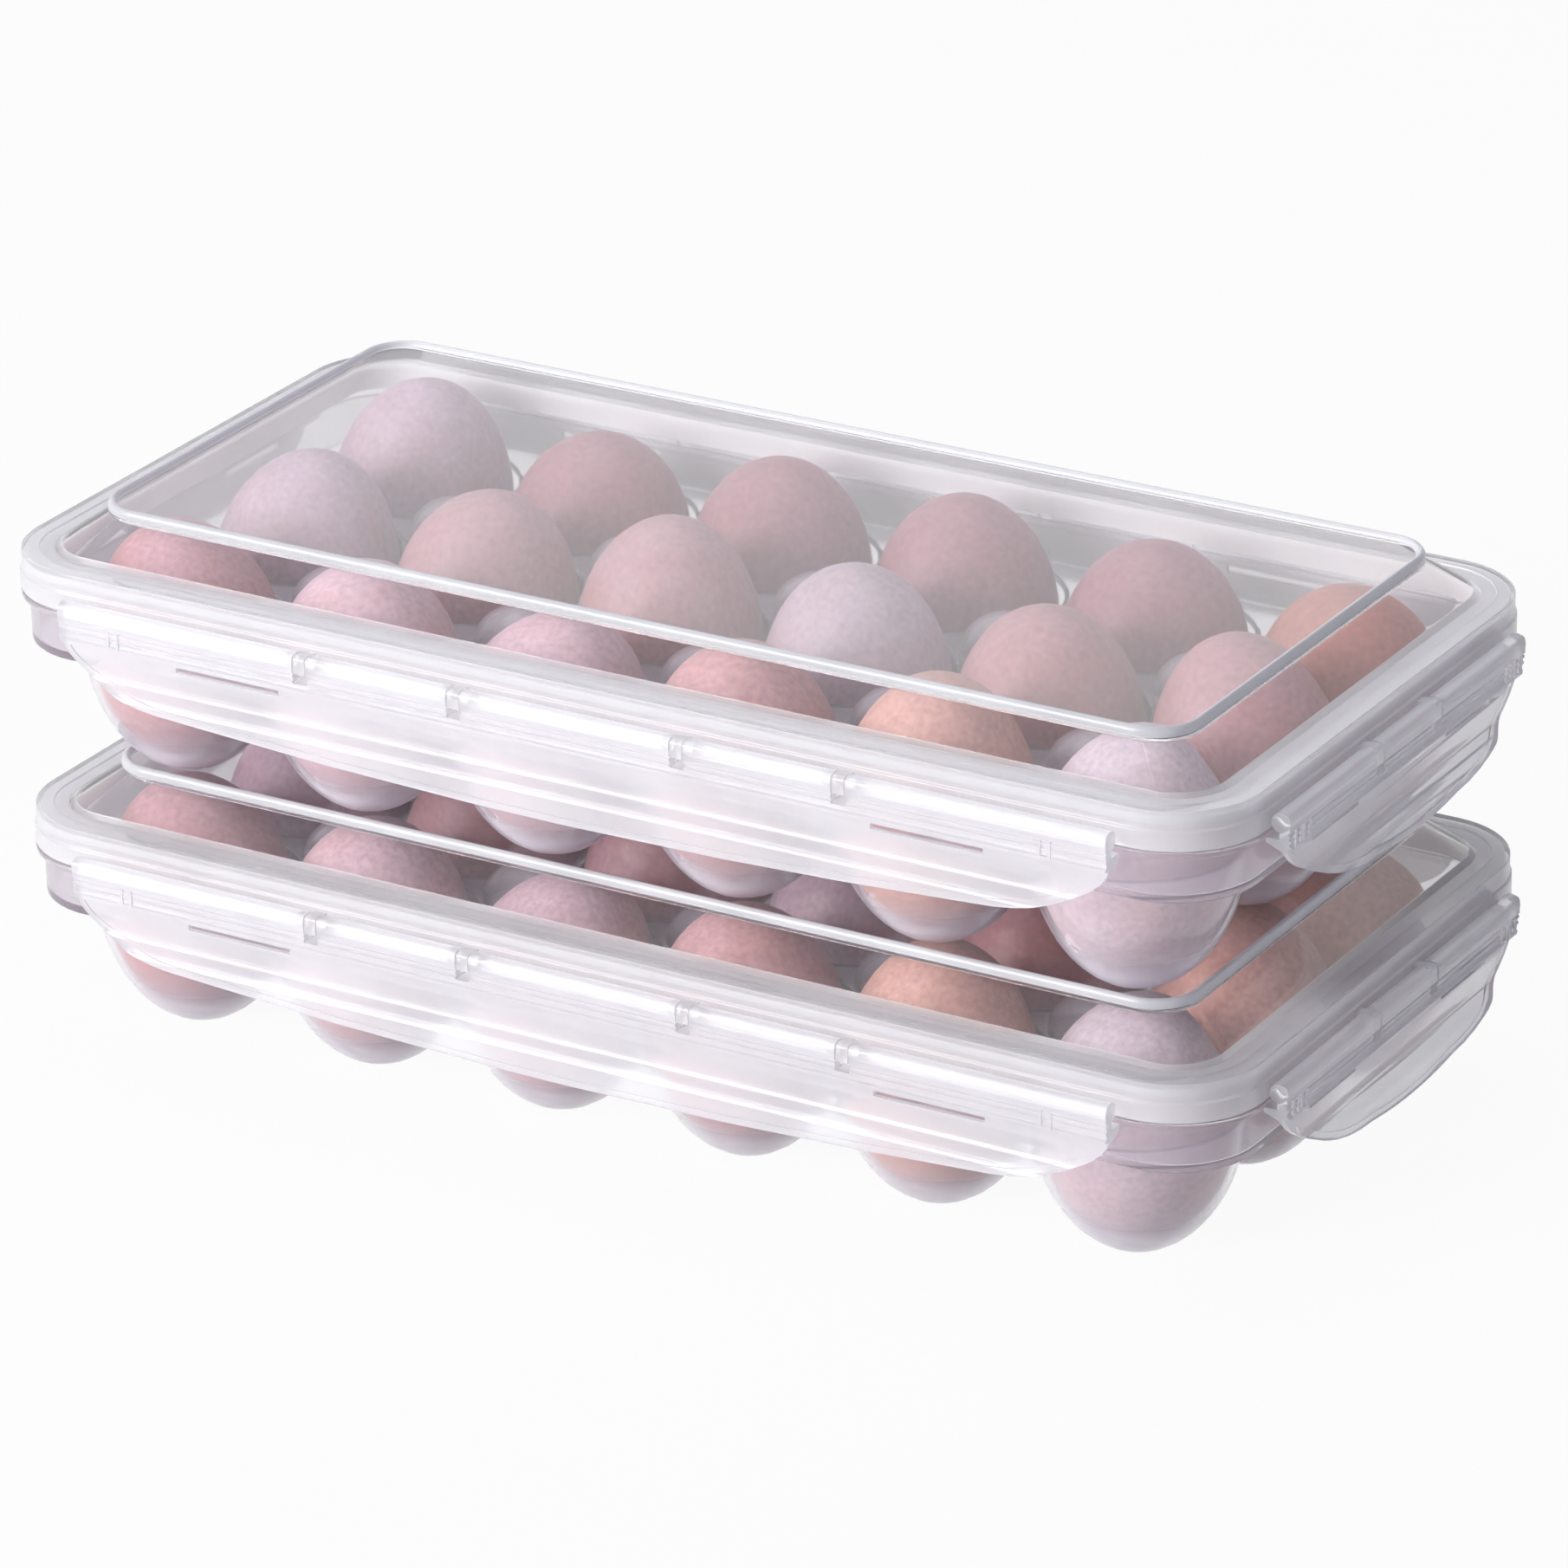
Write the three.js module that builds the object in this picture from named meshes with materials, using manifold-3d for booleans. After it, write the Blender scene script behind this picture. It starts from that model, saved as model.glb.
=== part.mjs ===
// Two egg storage boxes, one standing on the other. Each has a cupped tray for eggs, a domed lid with a
// sealing ring, and four hinged latches that hook under the tray's flange.
import * as THREE from 'three';
import Module from 'manifold-3d';
import { mergeVertices } from 'three/addons/utils/BufferGeometryUtils.js';

const wasm = await Module();
wasm.setup();

// Grid of eggs, each with its side and head room
const columns = 6;
const rows = 3;
const eggRadius = 22;
const eggLength = 54.8;
const eggWaistShare = 0.47;
const eggSideRoom = 1.2;
const eggHeadRoom = 5.1;

// Rim, where the lid, the flange and the latches meet
const rimEndMargin = 10.5;
const rimSideMargin = 5;
const rimRadius = 22;
const wall = 1.5;
const slip = 0.3;
const overrun = 5;

// Tray: a deck of cups inside a standing wall with a latch flange
const deckOverWaist = 5.244;
const trayInset = 2;
const flangeThickness = 1.6;
const cupSpacing = 1.2;
const cupFootRadius = 7.5;
const cupWall = 1.2;
const cupFloor = 2.2;
const cupSegments = 12;
const cupLevelShares = [0, 0.18, 0.5, 1];
const cupHollowShares = [0, 0.17, 0.5, 1];
const postRadius = 10.5;
const postHeight = 8.7;
const postSegments = 6;
const postLevelShares = [0, 0.75, 1];

// Steps of an egg's outline
const eggSegments = 12;
const eggLevelShares = [-1, -0.8, 0, 0.5, 0.86, 1];

// Lid: a channelled rim round a sloping dome with a flat top and a stacking ridge
const skirtDrop = 9.2;
const ribDrop = 6.2;
const rimBand = 8;
const domeRadius = 14;
const domeRise = 9.6;
const domeSlopeLength = 12;
const domeSlopeWidth = 10;
const domeTopRadius = 10;
const domeWall = 1.4;
const domeSideWall = 2.1;
const ridgeWidth = 2;
const ridgeHeight = 1.2;

// Sealing ring in the lid's channel
const sealWidth = 4;
const sealThickness = 2;
const sealGap = 0.4;

// Latches: a barrel on the lid's stub pins, a hook under the flange, and a flap that flares out
const barrelRadius = 2.3;
const barrelGap = 0.5;
const barrelSegments = 8;
const hingeDrop = 7.3;
const pinRadius = 1;
const pinReach = 2.2;
const pinSegments = 6;
const lugWidth = 3;
const lugReach = 1.6;
const plateInner = 2.4;
const plateThickness = 2.2;
const hookThickness = 1.3;
const hookLap = 1.1;
const shelfDrop = 6.7;
const flapThickness = 1.5;
const flapRecess = 1;
const flapFlare = 3.6;
const slotDrop = 8.6;
const slotHeight = 1.5;
const frontLatch = {
  halfLength: 136,
  sideDrop: 6,
  cornerRun: 32,
  cornerDrop: 19.6,
  middleDrop: 23.1,
  lugs: [-70, -29, 29, 70],
  slots: [-91, 91],
  slotLength: 28,
};
const endLatch = {
  halfLength: 57,
  sideDrop: 2.4,
  cornerRun: 37,
  cornerDrop: 21.2,
  middleDrop: 22.4,
  lugs: [-14, 14],
  slots: [-32, 32],
  slotLength: 22,
};

// Each egg's extra length, and how far its top leans along X and Y
const eggShapes = {
  front: [
    { longer: 0, leanX: -3.5, leanY: 1 },
    { longer: 0, leanX: -0.5, leanY: 0 },
    { longer: -2, leanX: 3, leanY: 0 },
    { longer: 0, leanX: -1, leanY: 0 },
    { longer: 2.5, leanX: 0, leanY: 0 },
    { longer: 0.5, leanX: 1, leanY: 0 },
  ],
  middle: [
    { longer: 1, leanX: 2.5, leanY: 0 },
    { longer: 0, leanX: 2, leanY: 0 },
    { longer: 3, leanX: 1, leanY: 0 },
    { longer: 0.5, leanX: -0.5, leanY: 0 },
    { longer: 0, leanX: -1, leanY: 0 },
    { longer: 2.5, leanX: -3, leanY: 1 },
  ],
  back: [
    { longer: 2.5, leanX: 2.5, leanY: -1 },
    { longer: -3, leanX: 0.5, leanY: 0 },
    { longer: 0, leanX: 0, leanY: 0 },
    { longer: 0, leanX: -0.5, leanY: 0 },
    { longer: -2, leanX: -0.5, leanY: 0 },
    { longer: -3, leanX: 0, leanY: -1 },
  ],
};

// Sizes worked out from the ones above: the eggs set the cups, the cups the rim, and the rim what meets it
const cupMouthRadius = eggRadius + eggSideRoom + cupWall;
const pitch = cupMouthRadius * 2 + cupSpacing;
const halfLength = (columns * pitch) / 2 + rimEndMargin;
const halfWidth = (rows * pitch) / 2 + rimSideMargin;
const eggBottom = cupFloor + slip;
const eggWaist = eggBottom + eggWaistShare * eggLength;
const deckHeight = eggWaist + deckOverWaist;
const deckUnderside = deckHeight - wall;
const panelUnderside = eggBottom + eggLength + eggHeadRoom;
const domeTop = panelUnderside + domeWall;
const rimHeight = domeTop - domeRise;
const plateUnderside = rimHeight - wall;
const trayWallHeight = plateUnderside - slip - sealThickness - sealGap;
const skirtBottom = rimHeight - skirtDrop;
const flangeHeight = skirtBottom - slip - flangeThickness;
const hingeHeight = rimHeight - hingeDrop;
const lidHeight = domeTop + ridgeHeight;
const stackPitch = domeTop + slip;
const hingeReach = barrelGap + barrelRadius;

// A rounded rectangle about the origin, given by its inset from the rim's outer edge
function level(inset, z, radius = rimRadius - inset) {
  return { halfLength: halfLength - inset, halfWidth: halfWidth - inset, radius, z };
}

// Joined, closed solid from a three.js geometry, without its pole triangles of no area
function toSolid(geometry) {
  geometry.deleteAttribute('normal');
  geometry.deleteAttribute('uv');
  const merged = mergeVertices(geometry);
  const index = merged.index.array;
  const triVerts = [];
  for (let i = 0; i < index.length; i += 3) {
    const [a, b, c] = index.slice(i, i + 3);
    if (a !== b && b !== c && c !== a) {
      triVerts.push(a, b, c);
    }
  }
  const vertProperties = new Float32Array(merged.attributes.position.array);
  const mesh = new wasm.Mesh({ numProp: 3, vertProperties, triVerts: new Uint32Array(triVerts) });
  return new wasm.Manifold(mesh);
}

function toGeometry(solid) {
  const { vertProperties, triVerts } = solid.getMesh();
  const geometry = new THREE.BufferGeometry();
  geometry.setAttribute('position', new THREE.BufferAttribute(vertProperties, 3));
  geometry.setIndex(new THREE.BufferAttribute(triVerts, 1));
  const facets = geometry.toNonIndexed();
  facets.computeVertexNormals();
  return facets;
}

// Unit outline with a quarter circle at each corner, which named sizes scale
const cornerSteps = 4;
const unitOutline = new THREE.Shape();
for (let quarter = 0; quarter < 4; quarter += 1) {
  const middle = ((quarter + 0.5) * Math.PI) / 2;
  for (let step = 0; step <= cornerSteps; step += 1) {
    const angle = ((quarter + step / cornerSteps) * Math.PI) / 2;
    const x = Math.sign(Math.cos(middle)) + Math.cos(angle);
    const y = Math.sign(Math.sin(middle)) + Math.sin(angle);
    if (quarter === 0 && step === 0) {
      unitOutline.moveTo(x, y);
    } else {
      unitOutline.lineTo(x, y);
    }
  }
}

// Block with rounded corners that runs from one level up to another, with sloping sides where they differ
function roundedBlock(bottom, top) {
  const geometry = new THREE.ExtrudeGeometry(unitOutline, { depth: 1, bevelEnabled: false });
  const position = geometry.attributes.position;
  for (let i = 0; i < position.count; i += 1) {
    const size = position.getZ(i) > 0 ? top : bottom;
    const sideX = Math.sign(position.getX(i));
    const sideY = Math.sign(position.getY(i));
    const x = sideX * (size.halfLength - size.radius) + (position.getX(i) - sideX) * size.radius;
    const y = sideY * (size.halfWidth - size.radius) + (position.getY(i) - sideY) * size.radius;
    position.setXYZ(i, x, y, size.z);
  }
  return toSolid(geometry);
}

function straightBlock(inset, bottomZ, topZ, radius) {
  return roundedBlock(level(inset, bottomZ, radius), level(inset, topZ, radius));
}

// Turned solid about a vertical line through (x, y), from a profile that starts and ends on that line
function turned(profile, segments, x = 0, y = 0) {
  const geometry = new THREE.LatheGeometry(profile, segments);
  geometry.rotateX(Math.PI / 2);
  geometry.translate(x, y, 0);
  return toSolid(geometry);
}

function box(length, depth, height, x, y, z) {
  const geometry = new THREE.BoxGeometry(length, depth, height);
  geometry.translate(x, y, z);
  return toSolid(geometry);
}

// Cylinder along X
function rod(radius, length, segments, x, y, z) {
  const geometry = new THREE.CylinderGeometry(radius, radius, length, segments);
  geometry.rotateZ(Math.PI / 2);
  geometry.translate(x, y, z);
  return toSolid(geometry);
}

function columnPlace(column) {
  return pitch * (column - (columns - 1) / 2);
}

function rowPlace(row) {
  return pitch * (row - (rows - 1) / 2);
}

// Bowl of one cup: part of an ellipse that stands upright at the mouth and ends in a flat foot
const cupOvalHeight = deckHeight / Math.sqrt(1 - (cupFootRadius / cupMouthRadius) ** 2);

function bowlRadius(z, mouth, ovalHeight) {
  return mouth * Math.sqrt(1 - ((deckHeight - z) / ovalHeight) ** 2);
}

function bowlProfile(bottomZ, shares, mouth, ovalHeight, topZ) {
  const points = [new THREE.Vector2(0, bottomZ)];
  for (const share of shares) {
    const z = bottomZ + share * (deckHeight - bottomZ);
    points.push(new THREE.Vector2(bowlRadius(z, mouth, ovalHeight), z));
  }
  points.push(new THREE.Vector2(mouth, topZ), new THREE.Vector2(0, topZ));
  return points;
}

// Post between four cups: a dome, hollow from below
function postProfile(radius, bottomZ, baseZ, topZ) {
  const points = [new THREE.Vector2(0, bottomZ), new THREE.Vector2(radius, bottomZ)];
  for (const share of postLevelShares) {
    const z = baseZ + share * (topZ - baseZ);
    points.push(new THREE.Vector2(radius * Math.sqrt(1 - share ** 2), z));
  }
  return points;
}

function buildTray() {
  const outerWall = straightBlock(trayInset, deckUnderside, trayWallHeight);
  const flange = straightBlock(0, flangeHeight, flangeHeight + flangeThickness);
  const inside = straightBlock(trayInset + wall, deckHeight, trayWallHeight + overrun);
  const bowl = bowlProfile(0, cupLevelShares, cupMouthRadius, cupOvalHeight, deckHeight);
  const hollow = bowlProfile(
    cupFloor,
    cupHollowShares,
    cupMouthRadius - cupWall,
    cupOvalHeight - cupWall,
    deckHeight + overrun,
  );
  const post = postProfile(postRadius, deckUnderside, deckHeight, deckHeight + postHeight);
  const postHollow = postProfile(
    postRadius - cupWall,
    deckUnderside - overrun,
    deckHeight,
    deckHeight + postHeight - cupWall,
  );
  let tray = outerWall.add(flange).subtract(inside);
  for (let row = 0; row < rows; row += 1) {
    for (let column = 0; column < columns; column += 1) {
      tray = tray.add(turned(bowl, cupSegments, columnPlace(column), rowPlace(row)));
    }
  }
  for (let row = 0; row < rows - 1; row += 1) {
    for (let column = 0; column < columns - 1; column += 1) {
      const x = (columnPlace(column) + columnPlace(column + 1)) / 2;
      const y = (rowPlace(row) + rowPlace(row + 1)) / 2;
      tray = tray.add(turned(post, postSegments, x, y)).subtract(turned(postHollow, postSegments, x, y));
    }
  }
  for (let row = 0; row < rows; row += 1) {
    for (let column = 0; column < columns; column += 1) {
      tray = tray.subtract(turned(hollow, cupSegments, columnPlace(column), rowPlace(row)));
    }
  }
  return toGeometry(tray);
}

// Egg with its wide part in the cup, standing just clear of the cup's floor
function buildEgg({ longer, leanX, leanY }) {
  const top = eggBottom + eggLength + longer;
  const points = eggLevelShares.map((share) => {
    const height = share < 0 ? eggWaist - eggBottom : top - eggWaist;
    return new THREE.Vector2(eggRadius * Math.sqrt(1 - share ** 2), eggWaist + share * height);
  });
  const geometry = new THREE.LatheGeometry(points, eggSegments);
  geometry.rotateX(Math.PI / 2);
  const position = geometry.attributes.position;
  for (let i = 0; i < position.count; i += 1) {
    const rise = Math.max(0, (position.getZ(i) - eggWaist) / (top - eggWaist)) ** 2;
    position.setX(i, position.getX(i) + rise * leanX);
    position.setY(i, position.getY(i) + rise * leanY);
  }
  return toGeometry(toSolid(geometry));
}

// Lugs that stand out of the front of the lid's skirt, each with a stub pin on both sides
function hingeLugs(latch, sideDistance) {
  const axisY = -(sideDistance + hingeReach);
  const lugDepth = hingeReach + lugReach + wall / 2;
  const lugY = -(sideDistance - wall / 2 + lugDepth / 2);
  return latch.lugs.map((x) => {
    const lug = box(lugWidth, lugDepth, lugReach * 2, x, lugY, hingeHeight);
    return lug.add(rod(pinRadius, lugWidth + pinReach * 2, pinSegments, x, axisY, hingeHeight));
  });
}

const latchSides = [
  { side: 'front', latch: frontLatch, distance: halfWidth, turn: 0 },
  { side: 'right', latch: endLatch, distance: halfLength, turn: 90 },
  { side: 'back', latch: frontLatch, distance: halfWidth, turn: 180 },
  { side: 'left', latch: endLatch, distance: halfLength, turn: -90 },
];

function buildLid() {
  const domeInset = rimBand;
  const domeBase = level(domeInset, rimHeight, domeRadius);
  const domeShoulder = {
    halfLength: domeBase.halfLength - domeSlopeLength,
    halfWidth: domeBase.halfWidth - domeSlopeWidth,
    radius: domeTopRadius,
    z: domeTop,
  };
  const hollowShare = (panelUnderside - rimHeight) / domeRise;
  const hollowBase = level(domeInset + domeSideWall, rimHeight, domeRadius - domeSideWall);
  const hollowTop = {
    halfLength: hollowBase.halfLength - domeSlopeLength * hollowShare,
    halfWidth: hollowBase.halfWidth - domeSlopeWidth * hollowShare,
    radius: domeTopRadius - domeSideWall,
    z: panelUnderside,
  };
  const ridgeOuter = { ...domeShoulder, z: lidHeight };
  const ridgeInner = {
    halfLength: domeShoulder.halfLength - ridgeWidth,
    halfWidth: domeShoulder.halfWidth - ridgeWidth,
    radius: domeTopRadius - ridgeWidth,
  };
  const ribBottom = rimHeight - ribDrop;
  const ribInner = domeInset + domeSideWall;
  const rim = straightBlock(0, skirtBottom, rimHeight);
  const channel = straightBlock(wall, skirtBottom - overrun, plateUnderside)
    .subtract(straightBlock(domeInset, skirtBottom - overrun, plateUnderside, domeRadius));
  const underRib = straightBlock(domeInset, skirtBottom - overrun, ribBottom, domeRadius);
  const throat = straightBlock(ribInner, skirtBottom - overrun, rimHeight, domeRadius - domeSideWall);
  const ridgeCut = roundedBlock({ ...ridgeInner, z: domeTop }, { ...ridgeInner, z: lidHeight + overrun });
  let lid = rim
    .add(roundedBlock(domeBase, domeShoulder))
    .add(roundedBlock(domeShoulder, ridgeOuter))
    .subtract(ridgeCut)
    .subtract(channel)
    .subtract(underRib)
    .subtract(throat)
    .subtract(roundedBlock(hollowBase, hollowTop));
  for (const { latch, distance, turn } of latchSides) {
    for (const lug of hingeLugs(latch, distance)) {
      lid = lid.add(lug.rotate([0, 0, turn]));
    }
  }
  return toGeometry(lid);
}

function buildSeal() {
  const sealTop = plateUnderside - slip;
  const sealBottom = sealTop - sealThickness;
  const outer = straightBlock(wall + slip, sealBottom, sealTop);
  const inner = straightBlock(wall + slip + sealWidth, sealBottom - overrun, sealTop + overrun);
  return toGeometry(outer.subtract(inner));
}

// Front view of a latch below its hinge axis, with a bowed lower edge and rounded lower corners
function latchOutline(latch) {
  const { halfLength: half, sideDrop, cornerRun, cornerDrop, middleDrop } = latch;
  const shoulder = half - cornerRun;
  const bowDrop = 2 * middleDrop - cornerDrop;
  const outline = new THREE.Shape();
  outline.moveTo(-half, barrelRadius + slip);
  outline.lineTo(-half, -sideDrop);
  outline.bezierCurveTo(
    -half,
    -(sideDrop + cornerDrop) / 2,
    -(half + shoulder) / 2,
    -cornerDrop,
    -shoulder,
    -cornerDrop,
  );
  outline.quadraticCurveTo(0, -bowDrop, shoulder, -cornerDrop);
  outline.bezierCurveTo(
    (half + shoulder) / 2,
    -cornerDrop,
    half,
    -(sideDrop + cornerDrop) / 2,
    half,
    -sideDrop,
  );
  outline.lineTo(half, barrelRadius + slip);
  return outline;
}

// End view of a latch: distance out from the skirt and height from the hinge axis
function latchSection(latch) {
  const plateOuter = plateInner + plateThickness;
  const hookTop = flangeHeight - slip - hingeHeight;
  const shelf = -shelfDrop;
  const bottom = -(latch.middleDrop + overrun);
  const flare = (flapFlare * (latch.middleDrop + overrun - shelfDrop)) / (latch.middleDrop - shelfDrop);
  const section = new THREE.Shape();
  section.moveTo(plateInner, 0);
  section.lineTo(plateInner, hookTop);
  section.lineTo(-hookLap, hookTop);
  section.lineTo(-hookLap, hookTop - hookThickness);
  section.lineTo(plateOuter - flapRecess - flapThickness, shelf - flapRecess);
  section.lineTo(plateOuter - flapRecess - flapThickness + flare, bottom);
  section.lineTo(plateOuter - flapRecess + flare, bottom);
  section.lineTo(plateOuter - flapRecess, shelf);
  section.lineTo(plateOuter, shelf);
  section.lineTo(plateOuter, 0);
  return section;
}

// Latch for the front side, with its hinge axis on the X axis and its face towards -Y
function buildLatch(latch) {
  const length = latch.halfLength * 2;
  const bar = new THREE.ExtrudeGeometry(latchSection(latch), { depth: length, bevelEnabled: false });
  bar.translate(-hingeReach, 0, -latch.halfLength);
  bar.rotateX(Math.PI / 2);
  bar.rotateZ(-Math.PI / 2);
  const plan = new THREE.ExtrudeGeometry(latchOutline(latch), {
    depth: overrun * 4,
    bevelEnabled: false,
    curveSegments: 4,
  });
  plan.rotateX(Math.PI / 2);
  plan.translate(0, overrun * 2, 0);
  let solid = toSolid(bar).add(rod(barrelRadius, length, barrelSegments, 0, 0, 0)).intersect(toSolid(plan));
  const notch = (barrelRadius + plateThickness) * 2;
  for (const x of latch.lugs) {
    solid = solid
      .subtract(box(lugWidth + slip * 2, notch, notch, x, 0, 0))
      .subtract(rod(pinRadius + slip, lugWidth + (pinReach + slip) * 2, pinSegments, x, 0, 0));
  }
  for (const x of latch.slots) {
    solid = solid.subtract(box(latch.slotLength, overrun * 4, slotHeight, x, 0, -slotDrop));
  }
  return toGeometry(solid);
}

function plastic(color, opacity, roughness) {
  const transparent = opacity < 1;
  return new THREE.MeshStandardMaterial({ color, opacity, transparent, roughness, metalness: 0 });
}

function shell(color) {
  return new THREE.MeshStandardMaterial({ color, roughness: 0.55, metalness: 0 });
}

const eggColors = {
  front: [0xc49a8c, 0xd0aca4, 0xcba49c, 0xc79c88, 0xd39a78, 0xcdbac4],
  middle: [0xb8a2aa, 0xcba59a, 0xcfa79d, 0xd2c6cc, 0xcba39c, 0xc49488],
  back: [0xb7a3ab, 0xb8989a, 0xb9948e, 0xbd9790, 0xbb9490, 0xbb8a7a],
};

const group = new THREE.Group();

function addPiece(parent, name, geometry, material) {
  const mesh = new THREE.Mesh(geometry, material);
  mesh.name = name;
  parent.add(mesh);
  return mesh;
}

const trayGeometry = buildTray();
const lidGeometry = buildLid();
const sealGeometry = buildSeal();
const latchGeometries = new Map([
  [frontLatch, buildLatch(frontLatch)],
  [endLatch, buildLatch(endLatch)],
]);
const eggGeometries = {};
for (const [row, shapes] of Object.entries(eggShapes)) {
  eggGeometries[row] = shapes.map(buildEgg);
}

function addBox(level_, height) {
  const storage = new THREE.Group();
  storage.position.z = height;
  addPiece(storage, `${level_}_tray`, trayGeometry, plastic(0xe9e9ee, 0.35, 0.1));
  addPiece(storage, `${level_}_lid`, lidGeometry, plastic(0xe4e4ea, 0.4, 0.15));
  addPiece(storage, `${level_}_seal`, sealGeometry, plastic(0xd8d9e0, 0.8, 0.5));
  for (const { side, latch, distance, turn } of latchSides) {
    const angle = THREE.MathUtils.degToRad(turn);
    const mesh = addPiece(
      storage,
      `${level_}_latch_${side}`,
      latchGeometries.get(latch),
      plastic(0xf0f0f5, 0.5, 0.2),
    );
    mesh.rotation.z = angle;
    const reach = distance + hingeReach;
    mesh.position.set(reach * Math.sin(angle), -reach * Math.cos(angle), hingeHeight);
  }
  Object.keys(eggGeometries).forEach((row, rowNumber) => {
    eggGeometries[row].forEach((geometry, column) => {
      const name = `${level_}_egg_${row}_${column + 1}`;
      const egg = addPiece(storage, name, geometry, shell(eggColors[row][column]));
      egg.position.set(columnPlace(column), rowPlace(rowNumber), 0);
    });
  });
  group.add(storage);
}

addBox('lower', 0);
addBox('upper', stackPitch);

export default group;
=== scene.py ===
import math

import bmesh
import bpy
from mathutils import Matrix, Vector


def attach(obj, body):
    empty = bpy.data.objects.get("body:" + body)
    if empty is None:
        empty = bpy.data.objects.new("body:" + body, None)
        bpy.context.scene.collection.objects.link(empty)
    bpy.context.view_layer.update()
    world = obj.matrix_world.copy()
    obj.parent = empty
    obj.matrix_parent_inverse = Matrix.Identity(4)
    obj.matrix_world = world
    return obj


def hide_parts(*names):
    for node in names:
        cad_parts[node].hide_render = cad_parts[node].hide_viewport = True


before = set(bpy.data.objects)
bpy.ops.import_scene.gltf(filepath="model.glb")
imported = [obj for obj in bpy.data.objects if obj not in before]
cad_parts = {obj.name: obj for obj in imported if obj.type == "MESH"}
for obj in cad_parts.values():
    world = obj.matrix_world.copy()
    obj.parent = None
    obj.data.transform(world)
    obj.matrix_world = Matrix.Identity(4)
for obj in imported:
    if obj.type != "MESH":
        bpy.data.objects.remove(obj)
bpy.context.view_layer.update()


# Camera.
# The photograph looks at the long front side and the right end from a little above, through a long lens that
# is tilted by one degree.

millimetre = 0.001
view_turn = math.radians(31.13)
view_rise = math.radians(23.59)
view_tilt = math.radians(-1.04)
view_distance = 1896.09
view_centre_right = 4.51
view_centre_height = 64.1
lens_pixels = 9500
photo_pixels = 1810

towards_camera = Vector((
    math.sin(view_turn) * math.cos(view_rise),
    -math.cos(view_turn) * math.cos(view_rise),
    math.sin(view_rise),
))
level_right = Vector((math.cos(view_turn), math.sin(view_turn), 0))
level_up = towards_camera.cross(level_right)
camera_right = level_right * math.cos(view_tilt) + level_up * math.sin(view_tilt)
camera_up = level_up * math.cos(view_tilt) - level_right * math.sin(view_tilt)
camera_place = (
    Vector((0, 0, view_centre_height)) + level_right * view_centre_right + towards_camera * view_distance
)
camera_data = bpy.data.cameras.new("photo_camera")
camera_data.sensor_fit = "HORIZONTAL"
camera_data.lens = camera_data.sensor_width * lens_pixels / photo_pixels
camera_data.clip_end = 100
camera = bpy.data.objects.new("photo_camera", camera_data)
bpy.context.scene.collection.objects.link(camera)
camera.matrix_world = Matrix.Translation(camera_place * millimetre) @ Matrix(
    (camera_right, camera_up, towards_camera)
).transposed().to_4x4()
bpy.context.scene.camera = camera
bpy.context.scene.view_settings.view_transform = "Standard"


# Studio.
# A white room with square lamps, and a pale floor that keeps the egg boxes' shadow. What is seen directly, in
# a gloss or through clear plastic is plain white, as in the photograph, but lights nothing.


class Wire:
    """A socket of a node tree. Sums, differences and products of wires add Math nodes."""

    def __init__(self, socket):
        self.socket = socket

    def join(self, operation, first, second):
        maths = Nodes(self.socket.id_data).add(
            "ShaderNodeMath", {"operation": operation}, {0: first, 1: second}
        )
        return maths["Value"]

    def __add__(self, other):
        return self.join("ADD", self, other)

    def __radd__(self, other):
        return self.join("ADD", other, self)

    def __sub__(self, other):
        return self.join("SUBTRACT", self, other)

    def __rsub__(self, other):
        return self.join("SUBTRACT", other, self)

    def __mul__(self, other):
        return self.join("MULTIPLY", self, other)

    def __rmul__(self, other):
        return self.join("MULTIPLY", other, self)

    def larger(self, other):
        return self.join("MAXIMUM", self, other)


class Nodes:
    """The nodes of one material or of the world."""

    def __init__(self, tree):
        self.tree = tree

    def add(self, kind, settings=None, values=None):
        """Adds a node with its options and its sockets' values or wires. Returns its outputs by name."""
        node = self.tree.nodes.new(kind)
        for name, value in (settings or {}).items():
            if name == "stops":
                for element, (place, color) in zip(node.color_ramp.elements, value):
                    element.position = place
                    element.color = color
            else:
                setattr(node, name, value)
        for key, value in (values or {}).items():
            socket = node.inputs[key]
            if isinstance(value, Wire):
                self.tree.links.new(value.socket, socket)
            else:
                socket.default_value = value
        return {output.name: Wire(output) for output in node.outputs}


floor_size = 40
light_bounces = 24
floor_color = (0.92, 0.92, 0.93, 1)
floor_glow = 0.94
room_light = 0.3
room_color = (0.82, 0.8, 1, 1)

world = bpy.data.worlds.new("white_room")
bpy.context.scene.world = world
world.use_nodes = True
world.node_tree.nodes.clear()
room = Nodes(world.node_tree)


def seen_rays(nodes):
    """1 for rays that show the white directly, in a gloss or through plastic, and 0 for those that light."""
    ray = nodes.add("ShaderNodeLightPath")
    seen = ray["Is Camera Ray"].larger(ray["Is Glossy Ray"]).larger(ray["Is Transmission Ray"])
    return seen * (1 - ray["Diffuse Depth"]).larger(0)


def new_material(name):
    """An empty material of nodes, and the nodes."""
    material = bpy.data.materials.new(name)
    material.use_nodes = True
    material.node_tree.nodes.clear()
    return material, Nodes(material.node_tree)


seen = seen_rays(room)
white = room.add("ShaderNodeBackground", values={"Color": (1, 1, 1, 1), "Strength": 1})
soft = room.add("ShaderNodeBackground", values={"Color": room_color, "Strength": room_light})
mixed = room.add("ShaderNodeMixShader", values={0: seen, 1: soft["Background"], 2: white["Background"]})
room.add("ShaderNodeOutputWorld", values={"Surface": mixed["Shader"]})

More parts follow.
